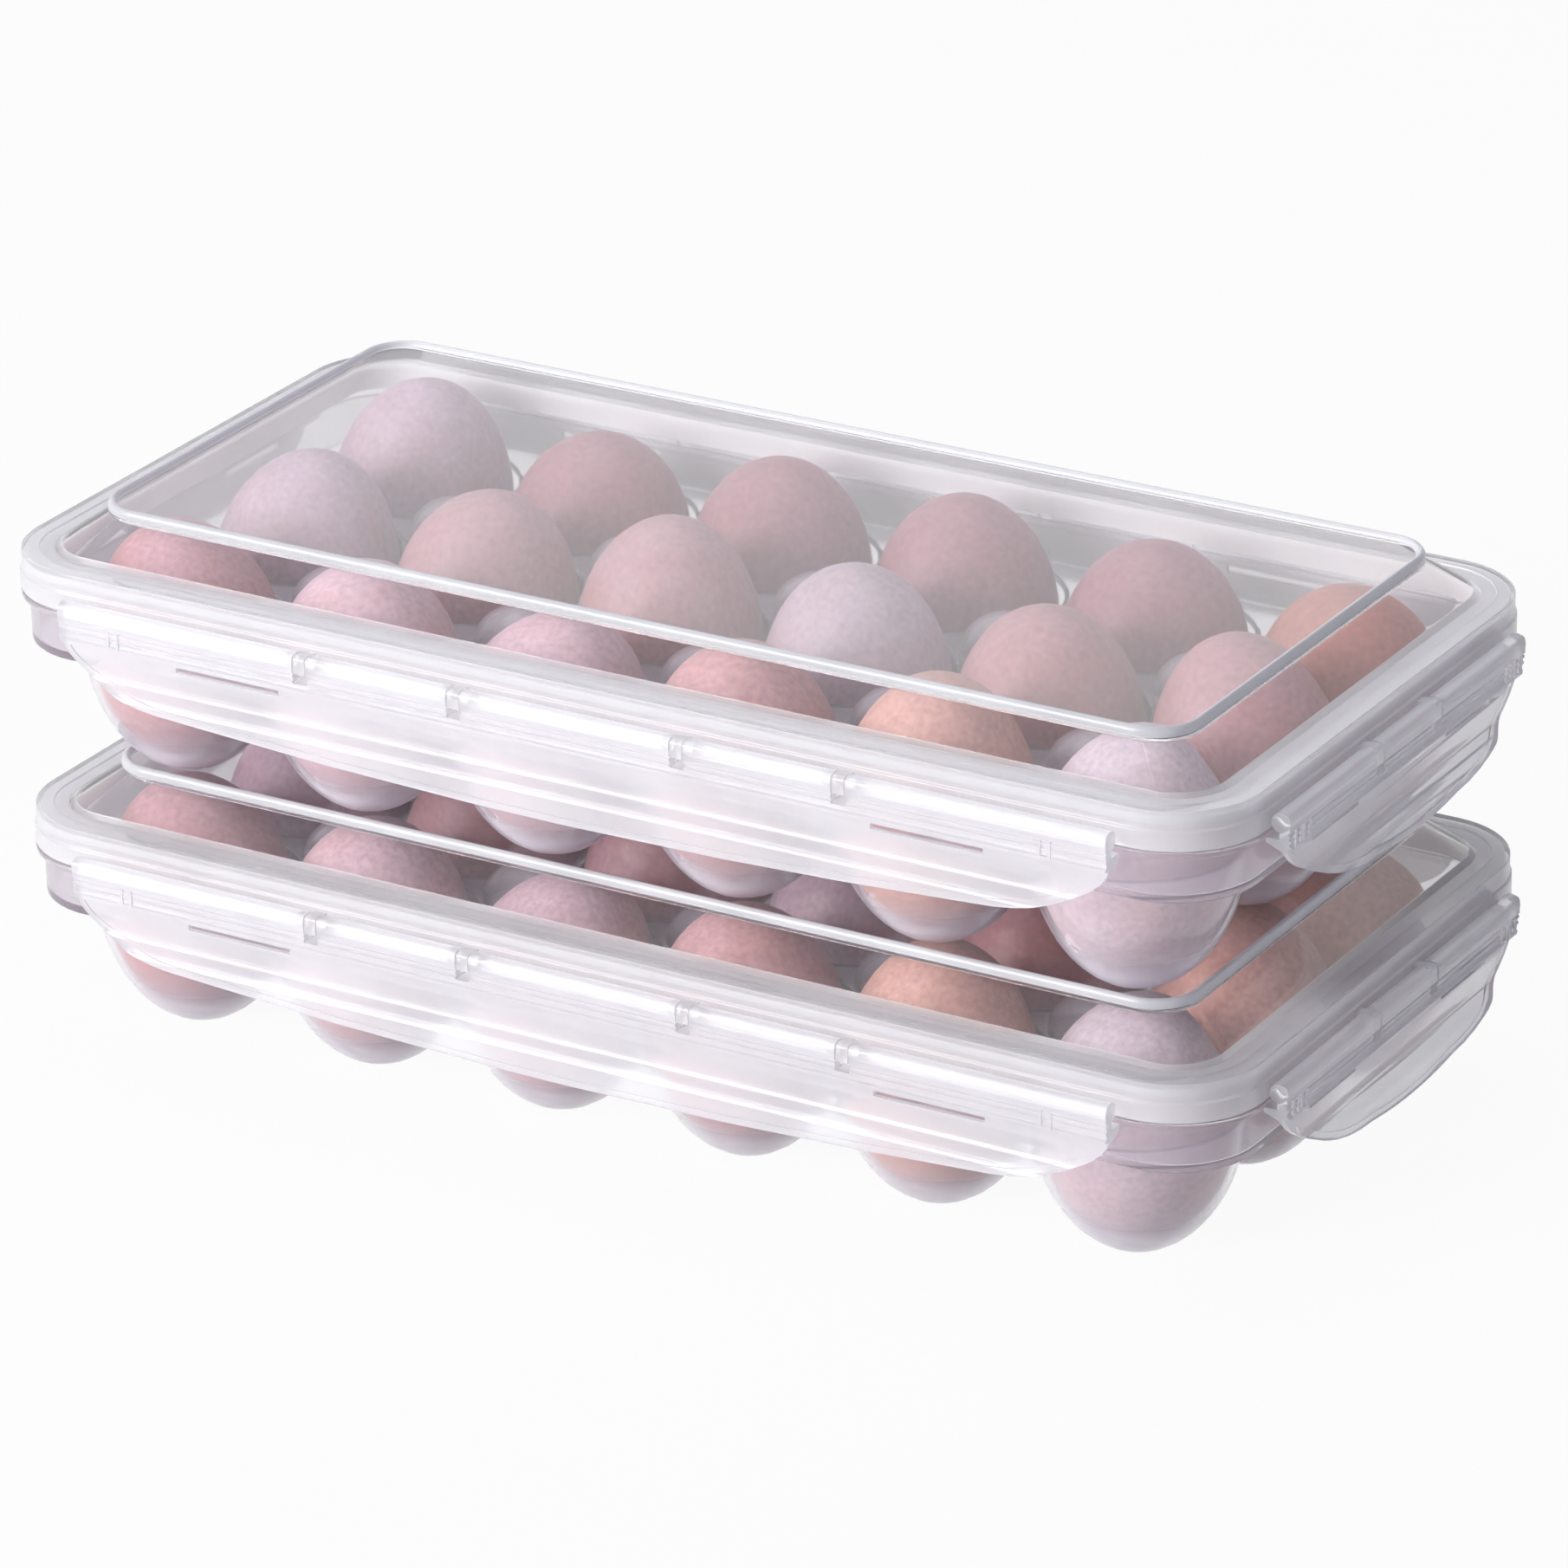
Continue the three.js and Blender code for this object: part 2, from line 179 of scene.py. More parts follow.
floor_shape = bmesh.new()
bmesh.ops.create_grid(floor_shape, x_segments=1, y_segments=1, size=floor_size / 2)
floor_mesh = bpy.data.meshes.new("floor")
floor_shape.to_mesh(floor_mesh)
floor_shape.free()
floor = bpy.data.objects.new("floor", floor_mesh)
bpy.context.scene.collection.objects.link(floor)
floor_paint, paint = new_material("floor_paint")
seen = seen_rays(paint)
matte = paint.add("ShaderNodeBsdfDiffuse", values={"Color": floor_color})
glow = paint.add("ShaderNodeEmission", values={"Color": (1, 1, 1, 1), "Strength": 1})
mixed = paint.add("ShaderNodeMixShader", values={
    0: seen * floor_glow,
    1: matte["BSDF"],
    2: glow["Emission"],
})
paint.add("ShaderNodeOutputMaterial", values={"Surface": mixed["Shader"]})
floor_mesh.materials.append(floor_paint)


def soft_box(name, place, size, power, color):
    """Adds a square lamp that faces the middle of the boxes. Place and size are in metres, power in watts."""
    lamp_data = bpy.data.lights.new(name, "AREA")
    lamp_data.shape = "SQUARE"
    lamp_data.size = size
    lamp_data.energy = power
    lamp_data.color = color
    lamp = bpy.data.objects.new(name, lamp_data)
    bpy.context.scene.collection.objects.link(lamp)
    away = Vector(place) - Vector((0, 0, view_centre_height * millimetre))
    lamp.matrix_world = Matrix.Translation(place) @ away.to_track_quat("Z", "Y").to_matrix().to_4x4()


soft_box("key_lamp", place=(-0.9, -1.6, 0.65), size=0.8, power=24, color=(1, 0.985, 0.97))
soft_box("side_lamp", place=(1.35, -0.75, 0.2), size=0.7, power=2.5, color=(1, 0.92, 0.88))
soft_box("top_lamp", place=(-0.5, 0.2, 1.6), size=1.0, power=6.5, color=(0.95, 0.96, 1))
soft_box("glint_lamp", place=(-0.3, -1.7, 1.0), size=0.07, power=2, color=(1, 0.98, 0.95))
bpy.context.scene.cycles.max_bounces = light_bounces
bpy.context.scene.cycles.transmission_bounces = light_bounces
bpy.context.scene.cycles.transparent_max_bounces = light_bounces


# Trays.
# Each tray is one clear moulding: a deck with six by three egg cups and hollow posts between them, inside a
# standing wall that has a thin flange for the latches to hook under. The cups are cloudier near their feet.

columns = 6
rows = 3
pitch = 50
rim_half_length = 160.5
rim_half_width = 80
rim_radius = 22
stack_pitch = 64.1
# The level that each box stands at
boxes = {"lower": 0, "upper": stack_pitch}
corner_steps = 12
turn_steps = 56
edge_steps = 3
merge_distance = 0.0001
margin = 0.1
deck_underside = 32
deck_top = 33.5
tray_wall_top = 50
tray_wall_inset = 2
tray_wall_thickness = 1.5
flange_bottom = 43.1
flange_top = 44.7
cup_mouth_radius = 24.4
cup_foot_radius = 7.5
cup_wall = 1.2
cup_floor = 2.2
cup_lip_radius = 1
foot_top = 1
outer_foot_round = 1.5
inner_foot_round = 1
# A rounded foot edge in shares of its size: how far in and up its bend is, and how far up it ends
foot_bend = (0.25, 0.08)
foot_bend_end = 0.35
deck_margin = 1
tray_edge_round = 0.5
veil_top = 24
post_radius = 10.5
post_height = 8.7
post_overlap = 0.2
cloud_spread = 0.4
clear_tint = (0.992, 0.989, 0.996, 1)
milk_tint = (0.86, 0.85, 0.89, 1)
cut_past = 5


def level(inset, height):
    """Half length, half width, corner radius and height of a rounded outline inside the rim's outer edge."""
    return (rim_half_length - inset, rim_half_width - inset, rim_radius - inset, height)


def shell_of(outlines, ring=False):
    """Pushes a rounded rectangle from one outline to the next, into a closed shell or a closed ring."""
    shape = bmesh.new()
    half_length, half_width, radius, height = outlines[0]
    corners = bmesh.ops.create_grid(shape, x_segments=1, y_segments=1, size=1)["verts"]
    bmesh.ops.scale(shape, vec=(half_length, half_width, 1), verts=corners)
    bmesh.ops.translate(shape, vec=(0, 0, height), verts=corners)
    bmesh.ops.bevel(
        shape,
        geom=corners,
        offset=radius,
        offset_type="OFFSET",
        segments=corner_steps,
        profile=0.5,
        affect="VERTICES",
        material=-1,
    )
    edges = shape.edges[:]
    if ring:
        bmesh.ops.delete(shape, geom=shape.faces[:], context="FACES_ONLY")
        outlines = [*outlines, outlines[0]]
    for before, after in zip(outlines, outlines[1:]):
        pushed = bmesh.ops.extrude_edge_only(shape, edges=edges)["geom"]
        points = {item for item in pushed if isinstance(item, bmesh.types.BMVert)}
        edges = [
            item for item in pushed if isinstance(item, bmesh.types.BMEdge) and points.issuperset(item.verts)
        ]
        for side_x, side_y in ((1, 1), (1, -1), (-1, 1), (-1, -1)):
            corner = [point for point in points if point.co.x * side_x > 0 and point.co.y * side_y > 0]
            old, new = (
                Vector((side_x * (size[0] - size[2]), side_y * (size[1] - size[2]), size[3]))
                for size in (before, after)
            )
            grow = after[2] / before[2]
            bmesh.ops.scale(shape, vec=(grow, grow, 1), space=Matrix.Translation(-old), verts=corner)
            bmesh.ops.translate(shape, vec=new - old, verts=corner)
    if ring:
        bmesh.ops.remove_doubles(shape, verts=shape.verts, dist=merge_distance)
    else:
        bmesh.ops.contextual_create(shape, geom=edges)
    bmesh.ops.recalc_face_normals(shape, faces=shape.faces)
    return shape


def turned(profile, steps, place=(0, 0, 0)):
    """Spins a profile of (radius, height) points that starts and ends on the Z axis."""
    shape = bmesh.new()
    points = [shape.verts.new((radius, 0, height)) for radius, height in profile]
    edges = [shape.edges.new(pair) for pair in zip(points, points[1:])]
    bmesh.ops.spin(
        shape,
        geom=points + edges,
        axis=(0, 0, 1),
        cent=(0, 0, 0),
        angle=math.tau,
        steps=steps,
        use_merge=True,
        use_duplicate=False,
    )
    bmesh.ops.remove_doubles(shape, verts=shape.verts, dist=merge_distance)
    bmesh.ops.recalc_face_normals(shape, faces=shape.faces)
    bmesh.ops.translate(shape, vec=place, verts=shape.verts)
    return shape


def extruded(outline, run):
    """Extrudes a closed outline of points along a vector, into a closed shape."""
    shape = bmesh.new()
    face = shape.faces.new([shape.verts.new(point) for point in outline])
    pushed = bmesh.ops.extrude_face_region(shape, geom=[face])["geom"]
    moved = [item for item in pushed if isinstance(item, bmesh.types.BMVert)]
    bmesh.ops.translate(shape, vec=run, verts=moved)
    bmesh.ops.recalc_face_normals(shape, faces=shape.faces)
    return shape


def bar(outline, half_length):
    """Extrudes a closed outline of (y, z) points along X, both ways from the middle."""
    return extruded([(-half_length, y, z) for y, z in outline], (2 * half_length, 0, 0))


def block(size, place):
    """A plain box of a given size about a given middle."""
    shape = bmesh.new()
    bmesh.ops.create_cube(shape, size=1)
    bmesh.ops.scale(shape, vec=size, verts=shape.verts)
    bmesh.ops.translate(shape, vec=place, verts=shape.verts)
    return shape


def rod(radius, length, steps, place):
    """A cylinder along X."""
    shape = bmesh.new()
    bmesh.ops.create_cone(
        shape, cap_ends=True, segments=steps, radius1=radius, radius2=radius, depth=length
    )
    bmesh.ops.rotate(shape, cent=(0, 0, 0), matrix=Matrix.Rotation(math.pi / 2, 3, "Y"), verts=shape.verts)
    bmesh.ops.translate(shape, vec=place, verts=shape.verts)
    return shape


def gathered(shapes):
    """Puts several meshes into one, without joining their surfaces."""
    whole = bmesh.new()
    for shape in shapes:
        part = bpy.data.meshes.new("part")
        shape.to_mesh(part)
        shape.free()
        whole.from_mesh(part)
        bpy.data.meshes.remove(part)
    return whole


def as_object(name, shape):
    """Turns a bmesh into an object, so that modifiers can work on it. The bmesh goes."""
    mesh = bpy.data.meshes.new(name)
    shape.to_mesh(mesh)
    shape.free()
    thing = bpy.data.objects.new(name, mesh)
    bpy.context.scene.collection.objects.link(thing)
    return thing


def finished(thing):
    """The object's mesh with its modifiers applied, as a new bmesh. The object goes."""
    bpy.context.view_layer.update()
    solved = thing.evaluated_get(bpy.context.evaluated_depsgraph_get())
    shape = bmesh.new()
    shape.from_mesh(solved.to_mesh())
    solved.to_mesh_clear()
    mesh = thing.data
    bpy.data.objects.remove(thing)
    bpy.data.meshes.remove(mesh)
    return shape


def combined(shape, other, operation, solver="MANIFOLD"):
    """Union, difference or intersection of two closed meshes."""
    thing = as_object("base", shape)
    tool = as_object("tool", other)
    modifier = thing.modifiers.new("combine", "BOOLEAN")
    modifier.operation = operation
    modifier.solver = solver
    modifier.object = tool
    result = finished(thing)
    mesh = tool.data
    bpy.data.objects.remove(tool)
    bpy.data.meshes.remove(mesh)
    return result


def rounded_edges(shape, width, steps, sharper_than=40):
    """Rounds every edge that is sharper than an angle in degrees."""
    thing = as_object("rounded", shape)
    modifier = thing.modifiers.new("round", "BEVEL")
    modifier.width = width
    modifier.segments = steps
    modifier.limit_method = "ANGLE"
    modifier.angle_limit = math.radians(sharper_than)
    modifier.use_clamp_overlap = True
    return finished(thing)


def smoothed(shape, sharper_than=32):
    """Shades a mesh smooth, apart from edges that are sharper than an angle in degrees."""
    for face in shape.faces:
        face.smooth = True
    for edge in shape.edges:
        edge.smooth = edge.calc_face_angle(0) < math.radians(sharper_than)
    return shape


def piece(name, shape, materials, node, body, height):
    """Makes a finished piece from a mesh in millimetres, raised by a height, in place of its CAD node."""
    mesh = bpy.data.meshes.new(name)
    shape.to_mesh(mesh)
    mesh.transform(Matrix.Translation((0, 0, height * millimetre)) @ Matrix.Scale(millimetre, 4))
    for material in materials:
        mesh.materials.append(material)
    thing = bpy.data.objects.new(name, mesh)
    bpy.context.scene.collection.objects.link(thing)
    weight = thing.modifiers.new("even_normals", "WEIGHTED_NORMAL")
    weight.keep_sharp = True
    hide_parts(node)
    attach(thing, body)


def moulded_plastic(name, clouding, roughness, tint=milk_tint, wave=0.02, veil=0):
    """Moulded plastic, from clear to milky, with a faintly wavy surface. It lets the lamps' light through.

    A veil adds milkiness in proportion to the mesh attribute of that name.
    """
    material, nodes = new_material(name)
    place = nodes.add("ShaderNodeTexCoord")["Object"]
    ripple = nodes.add("ShaderNodeTexNoise", None, {"Vector": place, "Scale": 45, "Detail": 2})
    bump = nodes.add("ShaderNodeBump", values={"Height": ripple["Fac"], "Strength": wave, "Distance": 0.002})
    clear = nodes.add("ShaderNodeBsdfPrincipled", values={
        "Base Color": clear_tint,
        "Roughness": roughness,
        "IOR": 1.49,
        "Transmission Weight": 1,
        "Normal": bump["Normal"],
    })
    milk = nodes.add("ShaderNodeBsdfPrincipled", values={
        "Base Color": tint,
        "Roughness": 0.32,
        "Normal": bump["Normal"],
    })
    milkiness = (ripple["Fac"] * cloud_spread + (1 - cloud_spread / 2)) * clouding
    if veil:
        milkiness = milkiness + nodes.add("ShaderNodeAttribute", {"attribute_name": "veil"})["Fac"] * veil
    body = nodes.add("ShaderNodeMixShader", values={
        0: milkiness,
        1: clear["BSDF"],
        2: milk["BSDF"],
    })
    held_back = clouding / 3
    passed = [channel * (1 - held_back) for channel in clear_tint[:3]]
    lit_through = nodes.add("ShaderNodeBsdfTransparent", values={"Color": (*passed, 1)})
    ray = nodes.add("ShaderNodeLightPath")
    surface = nodes.add("ShaderNodeMixShader", values={
        0: ray["Is Shadow Ray"],
        1: body["Shader"],
        2: lit_through["BSDF"],
    })
    nodes.add("ShaderNodeOutputMaterial", values={"Surface": surface["Shader"]})
    return material


def oval_radius(height, mouth, depth):
    """Radius of a bowl at a height below the deck, from an upright ellipse whose half height is its depth."""
    return mouth * math.sqrt(max(0, 1 - ((deck_top - height) / depth) ** 2))


cup_oval_depth = deck_top / math.sqrt(1 - (cup_foot_radius / cup_mouth_radius) ** 2)
bowl_steps = 16
lip_steps = 4


def bowl_profile(bottom, mouth, depth, foot_round, lip=0):
    """Half section of a bowl, from the middle of its flat foot up to the deck, round at the foot's edge."""
    foot = oval_radius(bottom, mouth, depth)
    points = [
        (0, bottom),
        (foot - foot_round, bottom),
        (foot - foot_round * foot_bend[0], bottom + foot_round * foot_bend[1]),
    ]
    first = bottom + foot_round * foot_bend_end
    top = deck_top - lip
    for step in range(bowl_steps + 1):
        share = step / bowl_steps
        height = first + (top - first) * share
        points.append((oval_radius(height, mouth, depth), height))
    return points


post_levels = 10
column_places = [pitch * (column - (columns - 1) / 2) for column in range(columns)]
row_places = [pitch * (row - (rows - 1) / 2) for row in range(rows)]
cup_places = [(x, y, 0) for y in row_places for x in column_places]
post_places = [(x + pitch / 2, y + pitch / 2, 0) for y in row_places[:-1] for x in column_places[:-1]]


def post_profile(radius, bottom, top):
    """Half section of a post's dome, down to a level below the deck."""
    points = [(0, bottom), (radius, bottom)]
    for step in range(post_levels + 1):
        angle = math.pi / 2 * step / post_levels
        points.append((radius * math.cos(angle), deck_top + (top - deck_top) * math.sin(angle)))
    return points


cup_outer = bowl_profile(0, cup_mouth_radius, cup_oval_depth, outer_foot_round)
cup_outer.append((0, deck_top))
cup_inner_radius = cup_mouth_radius - cup_wall
cup_inner = bowl_profile(
    cup_floor, cup_inner_radius, cup_oval_depth - cup_wall, inner_foot_round, cup_lip_radius
)
for step in range(1, lip_steps + 1):
    angle = math.pi / 2 * step / lip_steps
    cup_inner.append((
        cup_inner_radius + cup_lip_radius * (1 - math.cos(angle)),
        deck_top - cup_lip_radius * (1 - math.sin(angle)),
    ))
cup_inner.append((cup_inner_radius + cup_lip_radius, deck_top + cut_past))
cup_inner.append((0, deck_top + cut_past))

tray_wall_inner = tray_wall_inset + tray_wall_thickness
tray_shape = rounded_edges(
    shell_of([
        level(tray_wall_inset, deck_underside),
        level(tray_wall_inset, flange_bottom),
        level(0, flange_bottom),
        level(0, flange_top),
        level(tray_wall_inset, flange_top),
        level(tray_wall_inset, tray_wall_top),
        level(tray_wall_inner, tray_wall_top),
        level(tray_wall_inner, deck_top),
    ]),
    tray_edge_round,
    edge_steps,
)
post_top = deck_top + post_height
post_outer = post_profile(post_radius, deck_underside + post_overlap, post_top)
post_inner = post_profile(post_radius - cup_wall, deck_underside - cut_past, post_top - cup_wall)
for cup, post, operation in ((cup_outer, post_outer, "UNION"), (cup_inner, post_inner, "DIFFERENCE")):
    cups = [turned(cup, turn_steps, place) for place in cup_places]
    posts = [turned(post, turn_steps, place) for place in post_places]
    tray_shape = combined(tray_shape, gathered(cups + posts), operation)
smoothed(tray_shape)
veil = tray_shape.verts.layers.float.new("veil")
for point in tray_shape.verts:
    point[veil] = max(0, 1 - point.co.z / veil_top) ** 2
cup_edge = cup_mouth_radius + margin
# Places of the plastics in the tray's list
tray_clear, tray_cloudy, tray_wall, tray_foot = range(4)
for face in tray_shape.faces:
    middle = face.calc_center_median()
    in_cup = any(math.hypot(middle.x - x, middle.y - y) < cup_edge for x, y, _ in cup_places)
    if middle.z < foot_top:
        face.material_index = tray_foot
    elif in_cup or middle.z <= deck_underside - deck_margin:
        face.material_index = tray_clear
    else:
        face.material_index = tray_cloudy if middle.z < flange_bottom - margin else tray_wall
tray_plastics = [
    moulded_plastic("tray_clear_plastic", clouding=0.1, roughness=0.04, tint=(0.84, 0.79, 0.88, 1), veil=0.6),
    # The deck and posts between the cups have a dark violet milk: partly the plastic's own cloudiness, partly
    # painted shade between the eggs
    moulded_plastic("tray_cloudy_shaded_plastic", clouding=0.26, roughness=0.12, tint=(0.62, 0.55, 0.63, 1)),
    moulded_plastic("tray_wall_plastic", clouding=0.1, roughness=0.1),
    moulded_plastic("tray_foot_plastic", clouding=0.6, roughness=0.1, tint=(0.93, 0.91, 0.95, 1)),
]
for box, height in boxes.items():
    node = f"{box}_tray"
    piece(f"{node}_moulding", tray_shape, tray_plastics, node, f"{box}_tray_body", height)


# Eggs.
# Brown hens' eggs, no two quite alike. They stand blunt end down in their cups, and most lean a little. The
# shell is matt, with pores and faint mottling.

egg_radius = 22
egg_length = 54.8
egg_waist_share = 0.47
egg_bottom = 2.5
egg_levels = 24
egg_turn_steps = 40
mottle_share = 0.6
fleck_strength = 0.7
# For each egg of a row, from left to right: its extra length, its top's lean along X and Y, and its tone
egg_rows = {
    "front": [
        (0, -3.5, 1, "rose"),
        (0, -0.5, 0, "blush"),
        (-2, 3, 0, "blush"),
        (0, -1, 0, "clay"),
        (2.5, 0, 0, "orange"),
        (0.5, 1, 0, "ivory"),
    ],
    "middle": [
        (1, 2.5, 0, "mauve"),
        (0, 2, 0, "rose"),
        (3, 1, 0, "rose"),
        (0.5, -0.5, 0, "pale"),
        (0, -1, 0, "tan"),
        (2.5, -3, 1, "tan"),
    ],
    "back": [
        (2.5, 2.5, -1, "mauve"),
        (-3, 0.5, 0, "brown"),
        (0, 0, 0, "brown"),
        (0, -0.5, 0, "brown"),
        (-2, -0.5, 0, "brown"),
        (-3, 0, -1, "russet"),
    ],
}
# For each tone: the colour at the blunt end, which carries painted shade, and in the dark mottles, and the
# colour at the point, painted lighter as if lit from above
shell_tones = {
    "ivory": ((0.55, 0.4, 0.42), (0.54, 0.45, 0.505)),
    "blush": ((0.52, 0.275, 0.265), (0.535, 0.37, 0.42)),
    "clay": ((0.48, 0.21, 0.175), (0.495, 0.285, 0.3)),
    "orange": ((0.53, 0.23, 0.145), (0.53, 0.305, 0.27)),
    "rose": ((0.44, 0.185, 0.175), (0.465, 0.27, 0.305)),
    "tan": ((0.415, 0.155, 0.14), (0.46, 0.245, 0.27)),
    "pale": ((0.47, 0.285, 0.31), (0.52, 0.41, 0.485)),
    "mauve": ((0.435, 0.25, 0.28), (0.51, 0.375, 0.465)),
    "brown": ((0.345, 0.12, 0.13), (0.385, 0.18, 0.22)),
    "russet": ((0.395, 0.125, 0.09), (0.445, 0.18, 0.155)),
    # A paler tone that is painted light, used only for two eggs of the lower box
    "sand_painted_light": ((0.645, 0.305, 0.24), (0.665, 0.38, 0.34)),
}


def egg_shell(name, shade_and_mottle, light):
    """Matt eggshell with faint mottling, small flecks and pores, and painted shade: darker at the blunt end,
    low in the cup, and lighter towards the pointed end.
    """
    material, nodes = new_material(name)
    place = nodes.add("ShaderNodeTexCoord")["Object"]
    cloud = nodes.add("ShaderNodeTexNoise", None, {"Vector": place, "Scale": 60, "Detail": 3})
    fleck = nodes.add("ShaderNodeTexNoise", None, {"Vector": place, "Scale": 650, "Detail": 2})
    pores = nodes.add("ShaderNodeTexVoronoi", None, {"Vector": place, "Scale": 900})
    painted_shade_height = nodes.add("ShaderNodeAttribute", {"attribute_name": "painted_shade_height"})["Fac"]
    # Painted shade: the tone runs from dark at the blunt end to light at the point, mixed with the mottling
    tone = nodes.add(
        "ShaderNodeValToRGB",
        {"stops": [(0.32, (*shade_and_mottle, 1)), (0.68, (*light, 1))]},
        {"Fac": cloud["Fac"] * mottle_share + painted_shade_height * (1 - mottle_share)},
    )
    speckled = nodes.add(
        "ShaderNodeVectorMath",
        {"operation": "SCALE"},
        {"Vector": tone["Color"], "Scale": fleck["Fac"] * fleck_strength + (1 - fleck_strength / 2)},
    )
    bump = nodes.add("ShaderNodeBump", values={
        "Height": pores["Distance"],
        "Strength": 0.04,
        "Distance": 0.0003,
    })
    shell = nodes.add("ShaderNodeBsdfPrincipled", values={
        "Base Color": speckled["Vector"],
        "Roughness": cloud["Fac"] * 0.15 + 0.42,
        "Specular IOR Level": 0.45,
        "Normal": bump["Normal"],
    })
    nodes.add("ShaderNodeOutputMaterial", values={"Surface": shell["BSDF"]})
    return material


egg_waist = egg_bottom + egg_waist_share * egg_length


def egg_profile(top):
    """Half section of an egg, made of two half ovals that meet at its waist."""
    points = []
    for step in range(egg_levels + 1):
        angle = math.pi * (step / egg_levels - 0.5)
        half_height = top - egg_waist if angle > 0 else egg_waist - egg_bottom
        points.append((egg_radius * math.cos(angle), egg_waist + half_height * math.sin(angle)))
    points[0] = (0, egg_bottom)
    points[-1] = (0, top)
    return points


# Painted light: the box on top darkens these two eggs of the lower one, so they get a paler tone that stands
# in for the light it keeps from them
painted_light_tones = {("middle", 6): "sand_painted_light", ("back", 6): "sand_painted_light"}
shells = {tone: egg_shell(f"eggshell_{tone}", *colors) for tone, colors in shell_tones.items()}
for (row, eggs), y in zip(egg_rows.items(), row_places):
    for number, ((longer, lean_x, lean_y, tone), x) in enumerate(zip(eggs, column_places), 1):
        top = egg_bottom + egg_length + longer
        egg = turned(egg_profile(top), egg_turn_steps)
        # Share of the egg's height, which drives the painted shade of the shell
        painted_shade_height = egg.verts.layers.float.new("painted_shade_height")
        for point in egg.verts:
            point[painted_shade_height] = (point.co.z - egg_bottom) / (top - egg_bottom)
            lean = max(0, (point.co.z - egg_waist) / (top - egg_waist)) ** 2
            point.co += Vector((lean_x * lean + x, lean_y * lean + y, 0))
        smoothed(egg, sharper_than=180)
        tones = {"upper": tone, "lower": painted_light_tones.get((row, number), tone)}
        for box, shown in tones.items():
            node = f"{box}_egg_{row}_{number}"
            piece(f"{node}_shell", egg, [shells[shown]], node, f"{box}_tray_body", boxes[box])


# Lids.
# One clear moulding with a frosted rim: a skirt over the tray's wall, a rib inside it, a sloping dome and a
# flat top with a low ridge that holds the next box. Small lugs with stub pins stand out of the skirt for the
# latches.

rim_top = 54.2
skirt_bottom = 45
rib_bottom = 48
lid_wall = 1.5
dome_inset = 8
dome_side_wall = 2.1
dome_top = 63.8
panel_underside = 62.4
lid_edge_round = 0.35
lid_edge_angle = 31
flat_facing = 0.9
# The ridge's outline: how far out from the dome's shoulder, and how high
ridge_bead = (
    (0.9, 61.9),
    (1.1, 62.8),
    (1.08, 63.6),
    (0.93, 64.2),
    (0.68, 64.65),
    (0.35, 64.92),
    (0, 65),
    (-0.35, 64.92),
    (-0.68, 64.65),
    (-0.93, 64.2),
    (-1.05, 63.8),
)
bead_reach = 1.6
skirt_step = 49.4
step_inset = 0.45
land_width = 3.2
land_drop = 0.4
# Half length, half width and corner radius of the dome's flat top
dome_shoulder = (140.5, 62, 10)
hinge_height = 46.9
hinge_reach = 2.8
lug_width = 3
lug_half_height = 1.6
knuckle_reach = 2.1
knuckle_round = 1.2
knuckle_steps = 4
pin_radius = 1
pin_reach = 2.2
pin_steps = 20
long_lugs = (-70, -29, 29, 70)
short_lugs = (-14, 14)
# For each side: how far out its rim is, how far round from the front, and the places of its lugs
sides = {
    "front": (rim_half_width, 0, long_lugs),
    "right": (rim_half_length, 90, short_lugs),
    "back": (rim_half_width, 180, long_lugs),
    "left": (rim_half_length, -90, short_lugs),
}


def to_side(shape, side, beyond_rim=0, height=0):
    """Moves a mesh made on the X axis, with its face towards -Y, out to one side of the box."""
    distance, angle, _ = sides[side]
    turn = Matrix.Rotation(math.radians(angle), 4, "Z")
    move = Matrix.Translation((0, -(distance + beyond_rim), height))
    bmesh.ops.transform(shape, matrix=turn @ move, verts=shape.verts)
    return shape


def rounded_corner(out, height):
    """The rounded upper corner of a hinge knuckle, as (out, height) points from its face to its top."""
    turns = [math.pi / 2 * step / knuckle_steps for step in range(knuckle_steps + 1)]
    return [
        (out - knuckle_round * (1 - math.cos(turn)), height - knuckle_round * (1 - math.sin(turn)))
        for turn in turns
    ]


hollow_share = (panel_underside - rim_top) / (dome_top - rim_top)
hollow_base = level(dome_inset + dome_side_wall, rim_top)
dome_base = level(dome_inset, rim_top)
hollow_top = (
    hollow_base[0] - (dome_base[0] - dome_shoulder[0]) * hollow_share,
    hollow_base[1] - (dome_base[1] - dome_shoulder[1]) * hollow_share,
    dome_shoulder[2] - dome_side_wall,
    panel_underside,
)
bead = [
    (dome_shoulder[0] + out, dome_shoulder[1] + out, dome_shoulder[2] + out, height)
    for out, height in ridge_bead
]
lid_shape = shell_of([
    hollow_top,
    hollow_base,
    level(dome_inset + dome_side_wall, rib_bottom),
    level(dome_inset, rib_bottom),
    level(dome_inset, rim_top - lid_wall),
    level(lid_wall, rim_top - lid_wall),
    level(lid_wall, skirt_bottom),
    level(0, skirt_bottom),
    level(0, skirt_step),
    level(step_inset, skirt_step + step_inset),
    level(step_inset, rim_top),
    level(dome_inset - land_width, rim_top),
    level(dome_inset - land_width, rim_top - land_drop),
    (dome_base[0], dome_base[1], dome_base[2], rim_top - land_drop),
    *bead,
])
lid_shape = rounded_edges(lid_shape, lid_edge_round, edge_steps, lid_edge_angle)
lug_depth = hinge_reach + lid_wall / 2
knuckle = [
    (-lug_depth, -lug_half_height),
    (0, -knuckle_reach),
    (knuckle_reach, -knuckle_reach),
    *rounded_corner(knuckle_reach, knuckle_reach),
    (0, knuckle_reach),
    (-lug_depth, lug_half_height),
]
lugs = []
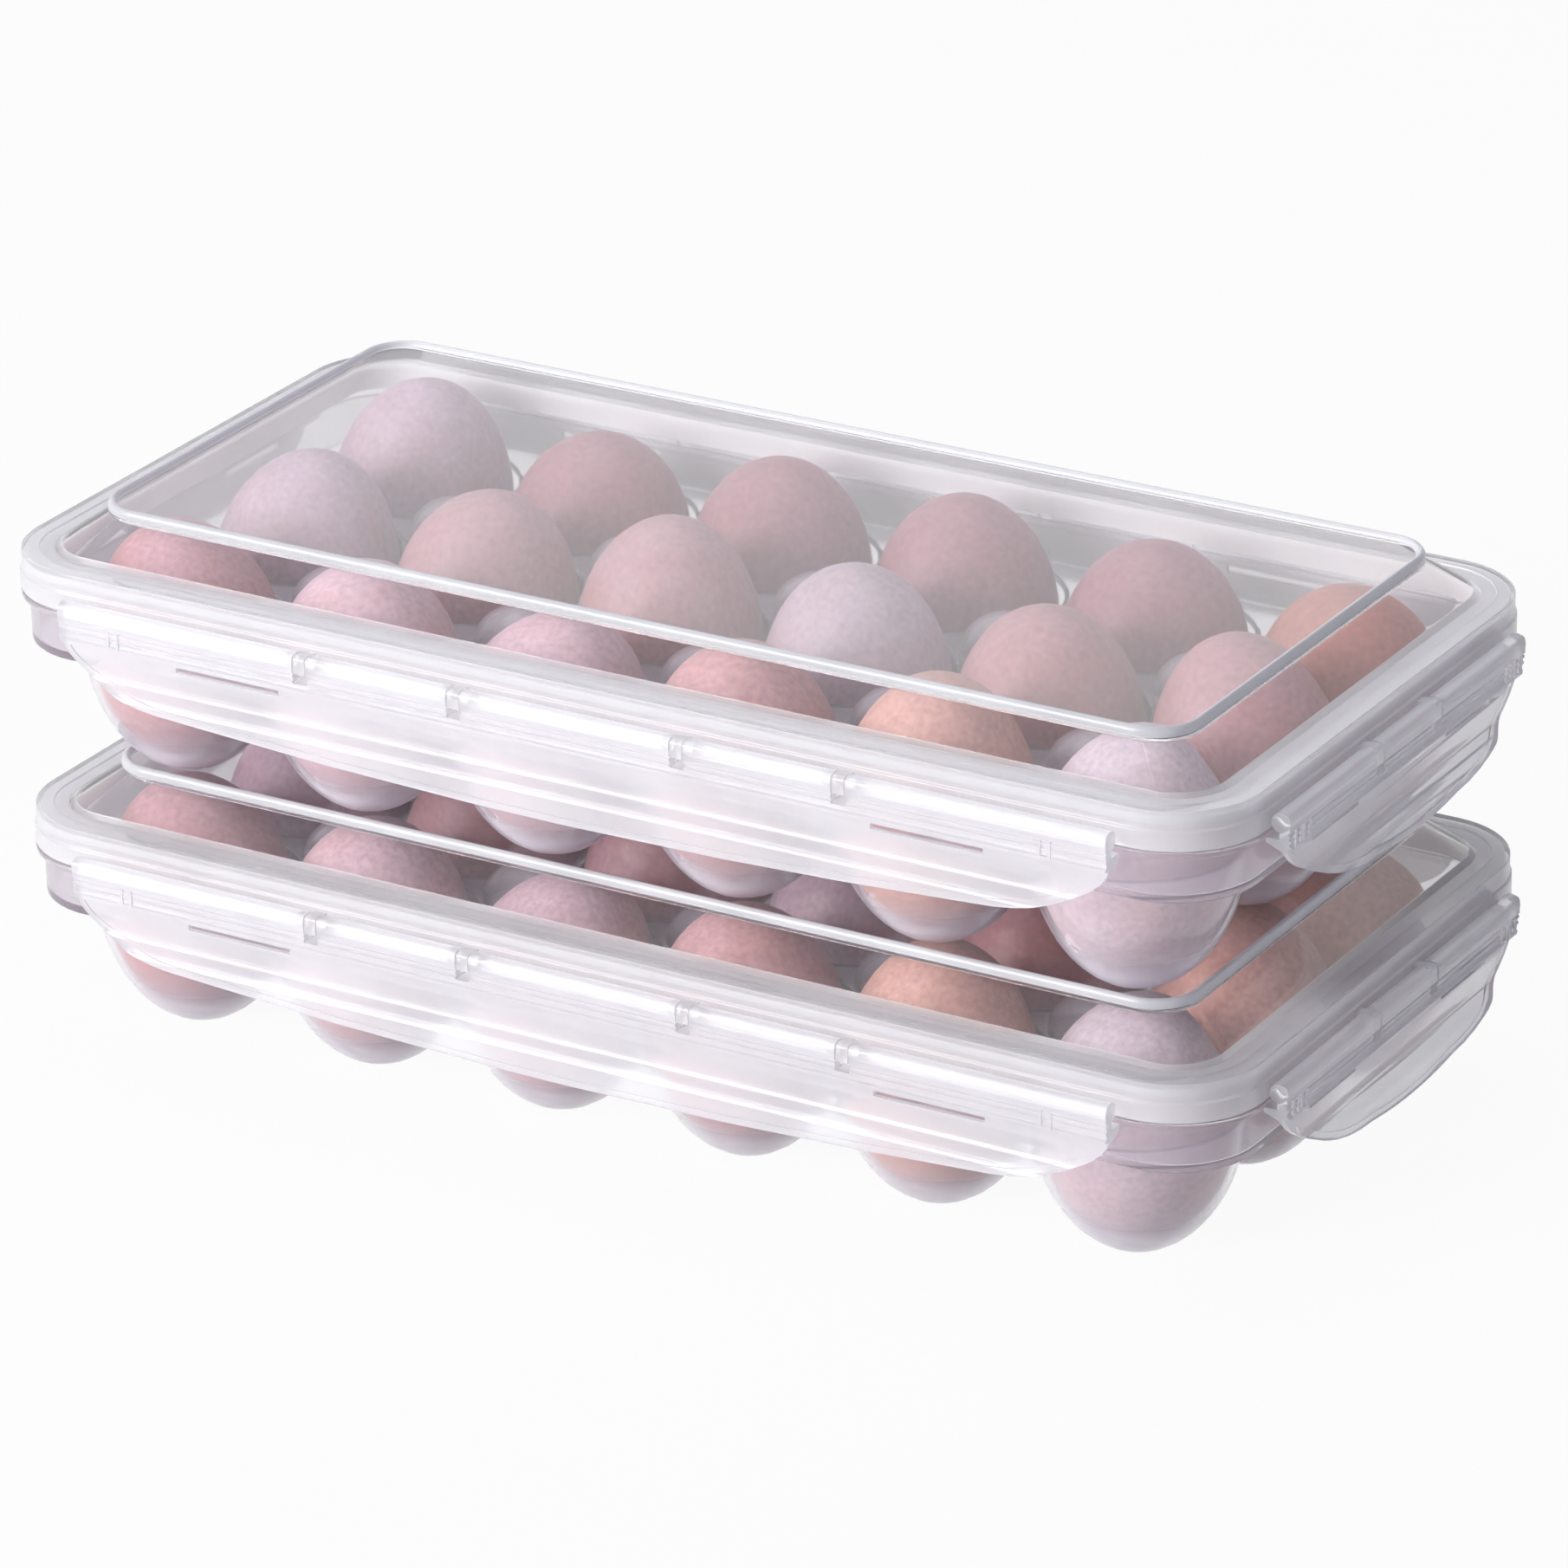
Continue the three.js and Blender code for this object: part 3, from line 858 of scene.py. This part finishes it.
for side, (_, _, places) in sides.items():
    for x in places:
        axis_place = (x, -hinge_reach, hinge_height)
        lug = bar([(-out, height) for out, height in knuckle], lug_width / 2)
        bmesh.ops.translate(lug, vec=axis_place, verts=lug.verts)
        pins = rod(pin_radius, lug_width + pin_reach * 2, pin_steps, axis_place)
        lugs.append(to_side(combined(lug, pins, "UNION"), side))
lid_shape = combined(lid_shape, gathered(lugs), "UNION")
smoothed(lid_shape)
# Places of the plastics in the lid's list
lid_clear, lid_frosted, lid_bead, lid_panel = range(4)
shoulder_radius = dome_shoulder[2]
for face in lid_shape.faces:
    middle = face.calc_center_median()
    past_corner = [
        max(0, abs(along) - half + shoulder_radius) for along, half in zip(middle[:2], dome_shoulder[:2])
    ]
    if middle.z > panel_underside + margin and math.hypot(*past_corner) > shoulder_radius - bead_reach:
        face.material_index = lid_bead
    elif middle.z > panel_underside - margin and abs(face.normal.z) > flat_facing:
        face.material_index = lid_panel
    else:
        face.material_index = lid_frosted if middle.z < rim_top else lid_clear
lid_plastics = [
    moulded_plastic("lid_clear_plastic", clouding=0.028, roughness=0.03),
    moulded_plastic("lid_frosted_plastic", clouding=0.42, roughness=0.2, tint=(0.88, 0.88, 0.9, 1)),
    moulded_plastic("lid_bead_plastic", clouding=0.7, roughness=0.12, tint=(0.92, 0.94, 0.97, 1)),
    moulded_plastic("lid_panel_plastic", clouding=0.035, roughness=0.03),
]
for box, height in boxes.items():
    node = f"{box}_lid"
    piece(f"{node}_moulding", lid_shape, lid_plastics, node, f"{box}_lid_body", height)


# Seals.
# A soft, milky silicone ring. It lies in the channel between the lid's skirt and its rib, and presses on the
# tray's wall.

seal_width = 4
seal_thickness = 2
seal_gap = 0.3
seal_edge_round = 0.5
seal_top = rim_top - lid_wall - seal_gap
seal_outer = lid_wall + seal_gap
seal_shape = shell_of([
    level(seal_outer, seal_top - seal_thickness),
    level(seal_outer, seal_top),
    level(seal_outer + seal_width, seal_top),
    level(seal_outer + seal_width, seal_top - seal_thickness),
], ring=True)
seal_shape = smoothed(rounded_edges(seal_shape, seal_edge_round, edge_steps))
silicone, skin = new_material("seal_silicone")
place = skin.add("ShaderNodeTexCoord")["Object"]
grain = skin.add("ShaderNodeTexNoise", None, {"Vector": place, "Scale": 800, "Detail": 3})
bump = skin.add("ShaderNodeBump", values={"Height": grain["Fac"], "Strength": 0.1, "Distance": 0.0003})
rubber = skin.add("ShaderNodeBsdfPrincipled", values={
    "Base Color": (0.8, 0.81, 0.84, 1),
    "Roughness": grain["Fac"] * 0.1 + 0.45,
    "Transmission Weight": 0.4,
    "IOR": 1.41,
    "Normal": bump["Normal"],
})
skin.add("ShaderNodeOutputMaterial", values={"Surface": rubber["BSDF"]})
for box, height in boxes.items():
    piece(f"{box}_seal_ring", seal_shape, [silicone], f"{box}_seal", f"{box}_lid_body", height)


# Latches.
# Milky, translucent flaps. A barrel along the top edge turns on the lid's stub pins, a hook inside catches
# the tray's flange, and the flap flares out to a bowed lip for the fingers.

barrel_radius = 2.3
barrel_steps = 32
plate_inner = 2.4
plate_outer = 4.6
hook_top = 42.8
hook_thickness = 1.3
hook_lap = 1.1
shelf_height = 40.2
flap_recess = 1
flap_thickness = 1.5
flap_flare = 3.6
kick_top = 33.5
kick_bottom = 28
flap_lean = 0.5
lip_width = 1.5
lip_height = 0.4
lip_top_drop = 1.2
latch_edge_round = 0.3
latch_edge_steps = 2
latch_edge_angle = 35
dissolve_angle = 1
# A slanting direction, so that hardly any points of a latch lie level along it
sort_direction = (1, 0.7549, 0.5698)
latch_depth = 40
rib_reach = 0.4
mark_width = 3.2
mark_height = 4.4
mark_middle = 42.7
mark_reach = 0.55
mark_wall = 0.7
mark_gap_depth = 4
# Ribs along the upper half of a latch, from below: share of their full reach, and height
plate_ribs = (
    (1, 40.9),
    (0, 41.3),
    (0, 42.2),
    (0.8, 42.4),
    (0.8, 42.8),
    (0, 43),
    (0, 43.6),
    (0.8, 43.8),
    (0.8, 44.2),
    (0, 44.4),
    (0, 44.7),
    (1, 44.9),
)
slot_height = 1.5
slot_centre = 38.3
notch_gap = 0.3
latches = {
    "long": {
        "half_length": 136,
        "side_drop": 6,
        "corner_run": 32,
        "corner_drop": 19.6,
        "middle_drop": 23.1,
        "slots": (-91, 91),
        "slot_length": 28,
        "lugs": long_lugs,
        "marks": (-121, 121),
    },
    "short": {
        "half_length": 57,
        "side_drop": 2.4,
        "corner_run": 37,
        "corner_drop": 21.2,
        "middle_drop": 22.4,
        "slots": (-32, 32),
        "slot_length": 22,
        "lugs": short_lugs,
        "marks": (-53, -49, 49, 53),
    },
}
curve_steps = 10


def bezier(points, steps):
    """Points along a Bezier curve, without its first point."""
    made = []
    for step in range(1, steps + 1):
        line = [Vector(point) for point in points]
        while len(line) > 1:
            line = [one.lerp(other, step / steps) for one, other in zip(line, line[1:])]
        made.append(tuple(line[0]))
    return made


def latch_front(half_length, side_drop, corner_run, corner_drop, middle_drop, **rest):
    """Front view of a latch as (x, z) points from its hinge axis, with a bowed lower edge."""
    shoulder = half_length - corner_run
    edge = [(-half_length, barrel_radius + cut_past), (-half_length, -side_drop)]
    edge += bezier([
        edge[-1],
        (-half_length, -(side_drop + corner_drop) / 2),
        (-(half_length + shoulder) / 2, -corner_drop),
        (-shoulder, -corner_drop),
    ], curve_steps)
    bow = (0, corner_drop - 2 * middle_drop)
    edge += bezier([edge[-1], bow, (shoulder, -corner_drop)], curve_steps * 2)
    edge += bezier([
        edge[-1],
        ((half_length + shoulder) / 2, -corner_drop),
        (half_length, -(side_drop + corner_drop) / 2),
        (half_length, -side_drop),
    ], curve_steps)
    edge.append((half_length, barrel_radius + cut_past))
    return edge


def latch_plan(latch, inset):
    """A latch's front view as a deep block, some way in from its sides and its lower edge."""
    inner = dict(latch)
    for size in ("half_length", "corner_drop", "middle_drop"):
        inner[size] -= inset
    return extruded([(x, -latch_depth / 2, z) for x, z in latch_front(**inner)], (0, latch_depth, 0))


def in_order(shape):
    """Sorts a mesh by place, because a boolean's order changes from run to run and dissolving follows it."""
    slant = Vector(sort_direction)
    shape.verts.sort(key=lambda point: point.co.dot(slant))
    shape.edges.sort(key=lambda edge: (edge.verts[0].co + edge.verts[1].co).dot(slant))
    shape.faces.sort(key=lambda face: face.calc_center_median().dot(slant))
    for parts in (shape.verts, shape.edges, shape.faces):
        parts.index_update()


def latch_shape(latch):
    """A latch on its hinge axis, with its face towards -Y."""
    flap_outer = plate_outer - flap_recess
    flap_inner = flap_outer - flap_thickness
    flap_bottom = hinge_height - latch["middle_drop"]
    kick_middle = (kick_top + kick_bottom) / 2
    kick_out = flap_flare - flap_lean
    kick = bezier([
        (0, kick_top),
        (0, kick_middle),
        (kick_out, kick_middle),
        (kick_out, kick_bottom),
    ], curve_steps)
    kick = [(0, kick_top), *kick, (flap_flare, flap_bottom), (flap_flare, flap_bottom - cut_past)]
    section = [
        (plate_inner, hinge_height),
        (plate_inner, hook_top),
        (-hook_lap, hook_top),
        (-hook_lap, hook_top - hook_thickness),
        (flap_inner, shelf_height - flap_recess),
        *((flap_inner + out, height) for out, height in kick),
        *((flap_outer + out, height) for out, height in reversed(kick)),
        (flap_outer, shelf_height),
        (plate_outer + rib_reach, shelf_height),
        *((plate_outer + rib_reach * raised, height) for raised, height in plate_ribs),
        *rounded_corner(plate_outer + rib_reach, hinge_height + knuckle_reach),
        (hinge_reach, hinge_height + knuckle_reach),
    ]
    outline = [(hinge_reach - out, height - hinge_height) for out, height in section]
    half_length = latch["half_length"]
    shape = bar(outline, half_length)
    shape = combined(shape, rod(barrel_radius, 2 * half_length, barrel_steps, (0, 0, 0)), "UNION", "EXACT")
    shape = combined(shape, latch_plan(latch, 0), "INTERSECT", "EXACT")
    lowered = [(hinge_reach - flap_outer + lip_height - out, height - hinge_height) for out, height in kick]
    lowered[0] = (lowered[0][0], shelf_height - lip_top_drop - hinge_height)
    lowered += [(-latch_depth / 2, lowered[-1][1]), (-latch_depth / 2, lowered[0][1])]
    inside_lip = combined(bar(lowered, half_length), latch_plan(latch, lip_width), "INTERSECT", "EXACT")
    shape = combined(shape, inside_lip, "DIFFERENCE", "EXACT")
    notch = 2 * (barrel_radius + plate_outer - plate_inner)
    cuts = []
    for x in latch["lugs"]:
        cut = block((lug_width + 2 * notch_gap, notch, notch), (x, 0, 0))
        pin = rod(pin_radius + notch_gap, lug_width + 2 * (pin_reach + notch_gap), pin_steps, (x, 0, 0))
        cuts.append(combined(cut, pin, "UNION"))
    for x in latch["slots"]:
        slot_place = (x, 0, slot_centre - hinge_height)
        cuts.append(block((latch["slot_length"], latch_depth, slot_height), slot_place))
    shape = combined(shape, gathered(cuts), "DIFFERENCE", "EXACT")
    face_y = hinge_reach - plate_outer
    mark_z = mark_middle - hinge_height
    for x in latch["marks"]:
        mark = block((mark_width, 2 * mark_reach, mark_height), (x, face_y, mark_z))
        gap_size = (mark_width - 2 * mark_wall, mark_gap_depth, mark_height)
        gap = block(gap_size, (x, face_y, mark_z + mark_wall))
        shape = combined(shape, combined(mark, gap, "DIFFERENCE"), "UNION", "EXACT")
    in_order(shape)
    bmesh.ops.dissolve_limit(
        shape, angle_limit=math.radians(dissolve_angle), verts=shape.verts, edges=shape.edges
    )
    return smoothed(rounded_edges(shape, latch_edge_round, latch_edge_steps, latch_edge_angle))


latch_plastic = moulded_plastic(
    "latch_milky_plastic", clouding=0.44, roughness=0.08, tint=(0.87, 0.87, 0.9, 1), wave=0.03
)
latch_shapes = {length: latch_shape(latch) for length, latch in latches.items()}
for side in sides:
    length = "long" if side in ("front", "back") else "short"
    shape = to_side(latch_shapes[length].copy(), side, hinge_reach, hinge_height)
    for box, height in boxes.items():
        node = f"{box}_latch_{side}"
        piece(f"{node}_flap", shape, [latch_plastic], node, f"{node}_body", height)
